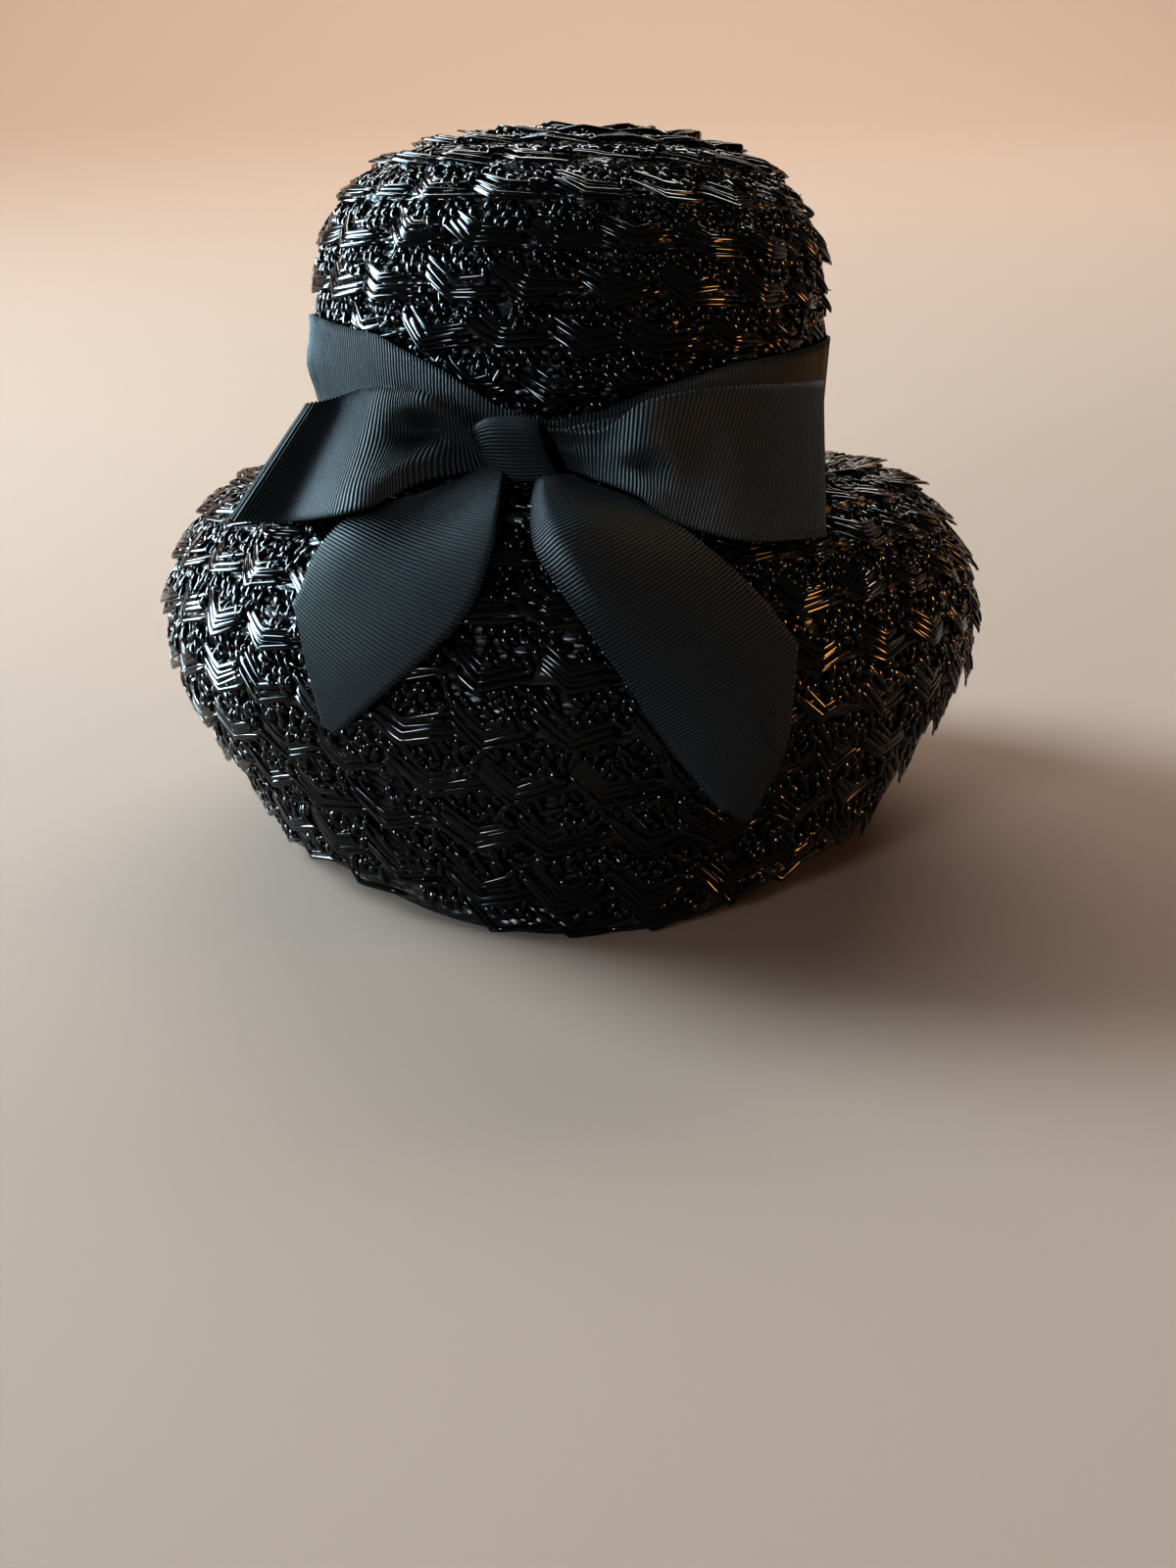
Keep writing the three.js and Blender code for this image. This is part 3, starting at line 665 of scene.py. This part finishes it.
# A fold: how far it stands out, its place along the loop, slant and spread, its place across and spread.
LEFT_NECK, RIGHT_NECK = 0.0, 1.0    # depth of the small pleats where a loop leaves the knot
NECK_FADE = 0.07        # share of the length in which they die down
KNOT_TURN, KNOT_HEIGHT, KNOT_REACH = -9.7, 126.6, 79.8
KNOT_ACROSS, KNOT_OUT, KNOT_UP = 8.3, 7.0, 7.9      # half sizes of its block
KNOT_SLANT, KNOT_SQUARE = 0.42, 0.6     # lean as it goes down, and power that squares the block
KNOT_DRAWN = (0.32, 0.16)               # shares by which its sides are drawn in


def eased(table, t):
    """A smooth line through the rows of a table, at shares t of its rows: Catmull-Rom."""
    p = np.vstack([2 * table[0] - table[1], table, 2 * table[-1] - table[-2]])
    x = np.clip(t, 0, 1) * (len(table) - 1)
    i = np.minimum(x.astype(int), len(table) - 2)
    x = (x - i)[:, None]
    p0, p1, p2, p3 = (p[i + n] for n in range(4))
    return p1 + 0.5 * x * (p2 - p0 + x * (2 * p0 - 5 * p1 + 4 * p2 - p3 + x * (3 * (p1 - p2) + p3 - p0)))


def ribbon(name, middle, ring=False, last=None):
    """A closed strip of ribbed ribbon about a grid of points on its middle, rows along it and columns
    across. Both faces stand off along the grid's normal by the cloth's half thickness plus a wave for
    the ribs; the edges are beaded by the same wave, and are closed by a row of faces. last is where
    each column is cut off, in rows: what lies past it is drawn back on to the cut and welded there."""
    count, across = middle.shape[:2]
    if ring:
        padded = np.concatenate([middle[-1:], middle, middle[:1]])
        run = (padded[2:] - padded[:-2]) / 2
    else:
        run = np.gradient(middle, axis=0)
    side = np.gradient(middle, axis=1)
    normal = unit(np.cross(run, side))
    centre = middle[:, across // 2]
    length = lengths_along(centre)
    if ring:
        whole = length[-1] + np.linalg.norm(centre[0] - centre[-1])
        length = length * RIB * round(whole / RIB) / whole
    rib = np.abs(np.cos(math.pi * length / RIB))
    k = np.linspace(-1, 1, across)
    bead = np.abs(k) ** BEAD
    stand = CLOTH * (1 - EDGE_THIN * bead) + RIB_HIGH * rib[:, None] * (1 + EDGE_RIB * bead)
    out = unit(side) * (np.sign(k) * bead)[:, None] * (EDGE_OUT * rib)[:, None, None]
    off = normal * stand[..., None]
    points = np.concatenate([middle + out + off, (middle + out - off)[:, ::-1]], 1)
    width = lengths_along(middle[count // 2])
    width = np.concatenate([width, width[::-1]])
    uv = np.stack(np.broadcast_arrays(width, length[:, None]), -1)
    faces = [grid_faces(count, 2 * across, wrap_rows=ring, wrap_columns=True)]
    if last is not None:
        last = np.concatenate([last, last[::-1]])
        row = np.minimum(np.arange(count)[:, None], last)
        low = np.minimum(row.astype(int), count - 2)
        part = (row - low)[..., None]
        column = np.arange(2 * across)
        points = points[low, column] * (1 - part) + points[low + 1, column] * part
        uv = uv[low, column] * (1 - part) + uv[low + 1, column] * part
        start, side_by = np.divmod(faces[0], 2 * across)
        faces[0] = faces[0][(start.min(1)[:, None] < last[side_by]).any(1)]
    if not ring:
        i = np.arange(across - 1)
        end = np.stack([i, i + 1, 2 * across - 2 - i, 2 * across - 1 - i], -1)
        faces += [end, end[:, ::-1] + (count - 1) * 2 * across]
    made = make_piece(name, points, faces, grosgrain, uv)
    if last is not None:
        made.modifiers.new("weld", "WELD").merge_threshold = WELD
    return made


def even(shape):
    """Shares t of a strip so that steps along its middle are even, and the length of its middle."""
    t = np.linspace(0, 1, 1500)
    middle = shape(t, np.array([0.5]))[:, 0]
    length = lengths_along(middle)
    count = int(length[-1] / RIB * RIB_STEPS)
    return np.interp(np.linspace(0, length[-1], count), length, t), length[-1]


def edge_run(shape, cut):
    """Length of the longer edge of a tail, up to its cut."""
    k = np.array([0.0, 1.0])
    edges = [shape(np.linspace(0, end, 400), k)[:, n] for n, end in enumerate(np.interp(k, *cut.T))]
    return max(lengths_along(edge)[-1] for edge in edges)


def band_shape(t, k):
    """The band: the crown's line at an offset, from its foot to its upper edge at each turn. It flares
    a little at the top, is pleated lengthwise where it is drawn in under the knot, and is slack at the
    left."""
    turn = (360 * t - 180)[:, None]
    top, foot = (np.interp(turn, BAND_EDGES[:, 0], BAND_EDGES[:, n]) for n in (1, 2))
    z = foot + (top - foot) * k
    slack = 0.9 * k**2 + 0.5 * (1 + np.cos(5 * math.pi * k)) * hump(turn, -8, 26)
    slack = slack + (1.9 * hump(k, 0.68, 0.17) - 0.3 * hump(k, 0.4, 0.12)) * hump(turn, -84, 14)
    r, z = crown_line.over(z, BAND_OFF, slack)
    return place(BACK + turn, r, z)


def folded(folds, neck, t, k):
    """How far a loop stands out from its straight lines: a bell along it times a bell across it for each
    fold, and the small pleats of its neck, which die down along it."""
    out = neck * np.cos(4 * math.pi * k) * np.exp(-t / NECK_FADE)
    for high, along, slant, long, across, broad in folds:
        out = out + high * hump(t, along + slant * k, long) * hump(k, across, broad)
    return out


def loop_shape(table, folds, neck):
    """A loop, for shares t of its length and k of its width: straight lines from the lower edge to the
    upper one, along both eased edges, moved out from the axis by its folds."""
    def shape(t, k):
        row = eased(table, t)
        upper = place(BACK + row[:, 0], row[:, 2], row[:, 1])
        lower = place(BACK + row[:, 3], row[:, 5], row[:, 4])
        turn = row[:, 3:4] + (row[:, 0] - row[:, 3])[:, None] * k
        out = place(BACK + turn, 1.0, 0.0) * folded(folds, neck, t[:, None], k)[..., None]
        return lower[:, None] + (upper - lower)[:, None] * k[:, None] + out
    return shape


def left_lift(t, k):
    """How far the left tail stands off the brim: it rises to its right edge and to a ridge along its
    left one, with a hollow between them, and waves a little."""
    right = 1.7 * ease(k, 0.5, 1) * hump(t, 0.3, 0.17)
    left = 2.0 * hump(k, 0.12, 0.26) * hump(t, 0.52, 0.2)
    return right + left + 0.3 * (1 + np.sin(2 * math.pi * (1.1 * t - 0.5 * k)))


def right_lift(t, k):
    """How far the right tail stands off the brim: turned up along the upper part of its left edge, with
    a soft wave along it."""
    turned_up = 4.2 * ease(k, 0, 0.2) * (1 - ease(t, 0.24, 0.6)) * (1 - 0.8 * ease(k, 0.35, 1))
    return turned_up + 0.5 * (1 + np.sin(2 * math.pi * (1.1 * t + 0.4 * k) + 1))


def tail_shape(table, tuck, lift):
    """A tail, for shares t of its length and k of its width: it leaves the knot and then lies on the
    brim, between its two eased edges."""
    def shape(t, k):
        row = eased(table, t)
        turn = row[:, 0:1] + (row[:, 2] - row[:, 0])[:, None] * k
        z = row[:, 1:2] + (row[:, 3] - row[:, 1])[:, None] * k
        r, z = brim_line.over(z, TAIL_OFF, lift(t[:, None], k))
        lying = place(BACK + turn, r, z)
        left, right, height, reach = tuck
        leaving = place(BACK + left + (right - left) * k, reach, height)
        down = ease(t, -0.02, 0.24)[:, None, None]
        return leaving * (1 - down) + lying * down
    return shape


def fray(name, shape, cut):
    """Threads of the cut end of a tail: each goes on past the end the way the ribbon runs, and bends
    aside and away from the brim at random. Drawn twice as thick as the real ones, so that they show."""
    count = FRAY_THREADS
    k = np.sort(draw.uniform(0.01, 0.99, count))
    stop = np.interp(k, *cut.T)
    each = np.arange(count)
    root, end = (shape(at, k)[each, each] for at in (stop - 0.03, stop))
    run = unit(end - root)
    out = unit(end * np.array([1, 1, 0]))
    size = draw.uniform(0.3, 1.5, (count, 1, 1)) ** 1.5
    s = np.linspace(0, 1, 4)[:, None]
    bend = draw.normal(0, 0.5, (count, 1, 3))
    aside = bend + 0.3 * out[:, None]
    middle = end[:, None] - 0.3 * run[:, None] + size * (s * run[:, None] + s**2 * aside)
    half = FRAY_HALF * np.ones((count, 4))
    return swept(name, middle, np.broadcast_to(out[:, None], middle.shape), half, half, np.zeros(count),
                 grosgrain, THREAD_RING)


def stray_thread(name, shape):
    """One loose thread that lies on the right tail in a small curl."""
    each = np.arange(40)
    row = eased(STRAY, each / each[-1])
    middle = shape(row[:, 0], row[:, 1])[each, each]
    out = unit(middle * np.array([1, 1, 0]) + np.array([0, 0, 15.0]))
    half = STRAY_HALF * np.ones((1, len(each)))
    middle = middle + STRAY_OFF * out
    return swept(name, middle[None], out[None], half, half, np.zeros(1), grosgrain, THREAD_RING)


def knot_shape(t, k):
    """The knot: a wrap round a rounded block, drawn in at its left side and leaning as it goes down,
    with shallow pleats round it."""
    a = 2 * math.pi * t[:, None]
    w = 2 * k - 1
    drawn = 1 - np.where(w < 0, *KNOT_DRAWN) * np.abs(w) ** 3
    pleat = 1 + 0.012 * np.cos(7 * w + 0.8)
    up = KNOT_UP * np.sign(np.sin(a)) * np.abs(np.sin(a)) ** KNOT_SQUARE * drawn
    out = KNOT_OUT * np.sign(np.cos(a)) * np.abs(np.cos(a)) ** KNOT_SQUARE * drawn * pleat
    middle = place(BACK + KNOT_TURN, KNOT_REACH, KNOT_HEIGHT)
    ahead = unit(place(BACK + KNOT_TURN, 1.0, 0.0))
    across = np.array([-ahead[1], ahead[0], 0])
    side = (KNOT_ACROSS * w - KNOT_SLANT * up)[..., None] * across
    return middle + side + out[..., None] * ahead + up[..., None] * np.array([0, 0, 1.0])


# Straw pieces. Where the last row runs out, its points hang less and stand lower.
CROWN_START, BRIM_START = 18.0, 12.0    # length of braid before the first tooth
RUN_OUT = 0.15          # turns
RIM_FLATTER, RIM_HIGHER = 0.45, 0.7     # lower by this share, ending this far above the edge
CROWN_LOOSE, BRIM_LOOSE = (200, 0.7, 16), (900, 0.85, 22)   # from a length to a share of all, and how many
crown_point = teeth(crown_braid, CROWN_START)
brim_point = teeth(brim_braid, BRIM_START)
brim_turn = np.interp(brim_point, brim_braid.lengths, brim_braid.turns)
at_rim = np.clip((brim_turn - brim_braid.rows + RUN_OUT) / RUN_OUT, 0, 1)

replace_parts(wall("crown_wall", crown_braid, 0.0), "crown")
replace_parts(wall("brim_wall", brim_braid, BRIM_CUT), "brim")
crown_high = POINT_HIGH * draw.uniform(*STRAW_PLAY, len(crown_point))
brim_high = POINT_HIGH * draw.uniform(*STRAW_PLAY, len(brim_point)) * (1 - RIM_FLATTER * at_rim)
brim_drop = POINT_DROP * (1 - at_rim) - RIM_HIGHER * at_rim
straw_piece("crown_straws", crown_braid, crown_point, np.full(len(crown_point), POINT_DROP), CROWN_CLIMB,
            crown_high, True)
straw_piece("brim_straws", brim_braid, brim_point, brim_drop, BRIM_CLIMB, brim_high, False)
nub_piece("crown_nubs", crown_braid, crown_point, True)
nub_piece("brim_nubs", brim_braid, brim_point, False)
loose_ends("crown_ends", crown_braid, *CROWN_LOOSE)
loose_ends("brim_ends", brim_braid, *BRIM_LOOSE)

# Ribbon pieces
across = np.linspace(0, 1, BOW_ACROSS)
t = np.arange(BAND_ROUND) / BAND_ROUND
band = ribbon("band_ribbon", band_shape(t, np.linspace(0, 1, BAND_ACROSS)), ring=True)
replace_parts(band, "hat_band")
t, _ = even(knot_shape)
knot = ribbon("knot_ribbon", knot_shape(t[:-1], across)[:, ::-1], ring=True)
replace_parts(knot, "bow_knot")
for name, shape, flip in (("loop_left", loop_shape(LEFT_LOOP, LEFT_FOLDS, LEFT_NECK), True),
                          ("loop_right", loop_shape(RIGHT_LOOP, RIGHT_FOLDS, RIGHT_NECK), False)):
    t, run = even(shape)
    middle = shape(t, across)
    loop = ribbon(name + "_ribbon", middle[:, ::-1] if flip else middle)
    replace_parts(loop, "bow_" + name)
for name, shape, cut in (("tail_left", tail_shape(LEFT_TAIL, LEFT_TUCK, left_lift), LEFT_CUT),
                         ("tail_right", tail_shape(RIGHT_TAIL, RIGHT_TUCK, right_lift), RIGHT_CUT)):
    t, run = even(shape)
    last = np.interp(np.interp(across, *cut.T), t, np.arange(len(t)))
    tail = ribbon(name + "_ribbon", shape(t, across), last=last)
    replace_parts(tail, "bow_" + name)
    loose = [fray(name + "_fray", shape, cut)]
    if name == "tail_right":
        loose.append(stray_thread("stray_thread", shape))
    math.ceil(edge_run(shape, cut)) * MM

for made in bpy.data.objects:
    if made.type == "MESH" and "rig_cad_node" not in made:
        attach(made, "root")

# Stage, in metres: a floor that sweeps up to a wall far behind the hat.
FLOOR_NEAR, FLOOR_FAR = -4.6, 2.0
SWEEP_ROUND, STAGE_HIGH, STAGE_HALF = 0.8, 4.0, 5.0
level = np.linspace(FLOOR_NEAR, FLOOR_FAR, 9)
bend = np.linspace(0.1, math.pi / 2, 12)
sweep = np.concatenate([
    np.stack([level, np.zeros_like(level)], -1),
    np.stack([FLOOR_FAR + SWEEP_ROUND * np.sin(bend), SWEEP_ROUND - SWEEP_ROUND * np.cos(bend)], -1),
    [(FLOOR_FAR + SWEEP_ROUND, STAGE_HIGH / 2), (FLOOR_FAR + SWEEP_ROUND, STAGE_HIGH)]])
reach = np.linspace(-STAGE_HALF, STAGE_HALF, 5)
stage = np.stack(np.broadcast_arrays(reach, sweep[:, :1], sweep[:, 1:]), -1).reshape(-1, 3)
mesh = bpy.data.meshes.new("floor")
mesh.from_pydata(stage.tolist(), [], grid_faces(len(sweep), len(reach))[:, ::-1].tolist())
mesh.polygons.foreach_set("use_smooth", np.full(len(mesh.polygons), True))
mesh.materials.append(pale_paint)
put("floor", mesh)


def lamp(name, at, target, size, power, colour, spread=180):
    """A soft oblong light that faces a point, in metres and watts. It shines no further aside than half
    its spread, in degrees."""
    data = bpy.data.lights.new(name, "AREA")
    data.shape, data.size, data.size_y = "RECTANGLE", size[0], size[1]
    data.energy, data.color = power, linear(colour)[:3]
    data.spread = math.radians(spread)
    made = put(name, data)
    aim = np.array(target) - np.array(at)
    level = math.hypot(aim[0], aim[1])
    made.location = at
    made.rotation_euler = (math.atan2(level, -aim[2]), 0, math.atan2(aim[1], aim[0]) - math.pi / 2)


LAMP_HIGH, FLOOR_GLOW = 2.6, 8.0  # metres, and watts to a square metre
lamp("window", (-1.95, 0.75, 1.0), (0, 0, 0.1), (1.1, 2.0), 110, "#cbe4f2", spread=100)
lamp("low_window", (-1.68, 0.35, 0.17), (0, 0, 0.13), (1.0, 0.3), 10, "#c4e2f0", spread=70)
lamp("far_window", (-1.2, -2.2, 0.9), (0, 0, 0.1), (0.5, 0.45), 55, "#e2eeff")
lamp("room", (1.7, -0.1, 0.2), (0, 0, 0.1), (0.4, 0.34), 1.2, "#ffb566", spread=40)
lamp("ceiling", (0.0, 1.9, 1.7), (0, 1.95, 0), (2.6, 1.2), 140, "#f2f2ee")
for name, x, y, wide, deep in (("front_floor", 0, -3.9, 8.0, 3.4), ("left_floor", -4.2, 1.0, 3.2, 5.0),
                               ("right_floor", 4.2, 1.0, 3.2, 5.0)):
    above, below = (x, y, LAMP_HIGH), (x, y + 0.01, 0)
    lamp(name, above, below, (wide, deep), FLOOR_GLOW * wide * deep, "#fff1e2", spread=70)

# Room: a warm, dim light from all round, in front of a paler backdrop.
world = bpy.data.worlds.new("room")
world.use_nodes = True
tree = world.node_tree
ambient = tree.nodes["Background"]
feed(tree, ambient, {"Color": linear("#efe3d2"), "Strength": 0.17})
backdrop = add(tree, "ShaderNodeBackground", {"Color": linear("#dccfbf"), "Strength": 1.0})
seen = add(tree, "ShaderNodeLightPath")
room_light = add(tree, "ShaderNodeMixShader", {0: seen.outputs["Is Camera Ray"], 1: ambient.outputs[0],
                                               2: backdrop.outputs[0]})
feed(tree, tree.nodes["World Output"], {"Surface": room_light.outputs[0]})
scene = bpy.context.scene
scene.world = world
scene.view_settings.view_transform = "Standard"
scene.view_settings.gamma = 0.8     # the deep blacks of a small camera's picture

# Camera: behind the hat and a little above it, on the long lens of the photograph.
CAMERA_AT = np.array([0.0, -750.0, 165.0])
CAMERA_DIP = math.radians(10.55)        # how far it looks down while the crown axis is upright
CAMERA_ROLL = math.radians(0.35)
FRAME_WIDE, FRAME_HIGH = 1200.0, 1600.0     # picture, in pixels
FOCAL, AXIS_AT = 2680.0, 579.0              # the lens, and the axis from the left
SENSOR = 36.0           # millimetres
lens = bpy.data.cameras.new("camera")
lens.sensor_fit, lens.sensor_width = "AUTO", SENSOR
lens.lens = FOCAL / FRAME_HIGH * SENSOR
lens.shift_x = (FRAME_WIDE / 2 - AXIS_AT) / FRAME_HIGH
camera = put("camera", lens)
camera.location = seated(CAMERA_AT)
camera.rotation_euler = (math.pi / 2 - CAMERA_DIP - SEAT_TILT, CAMERA_ROLL, 0)
scene.camera = camera
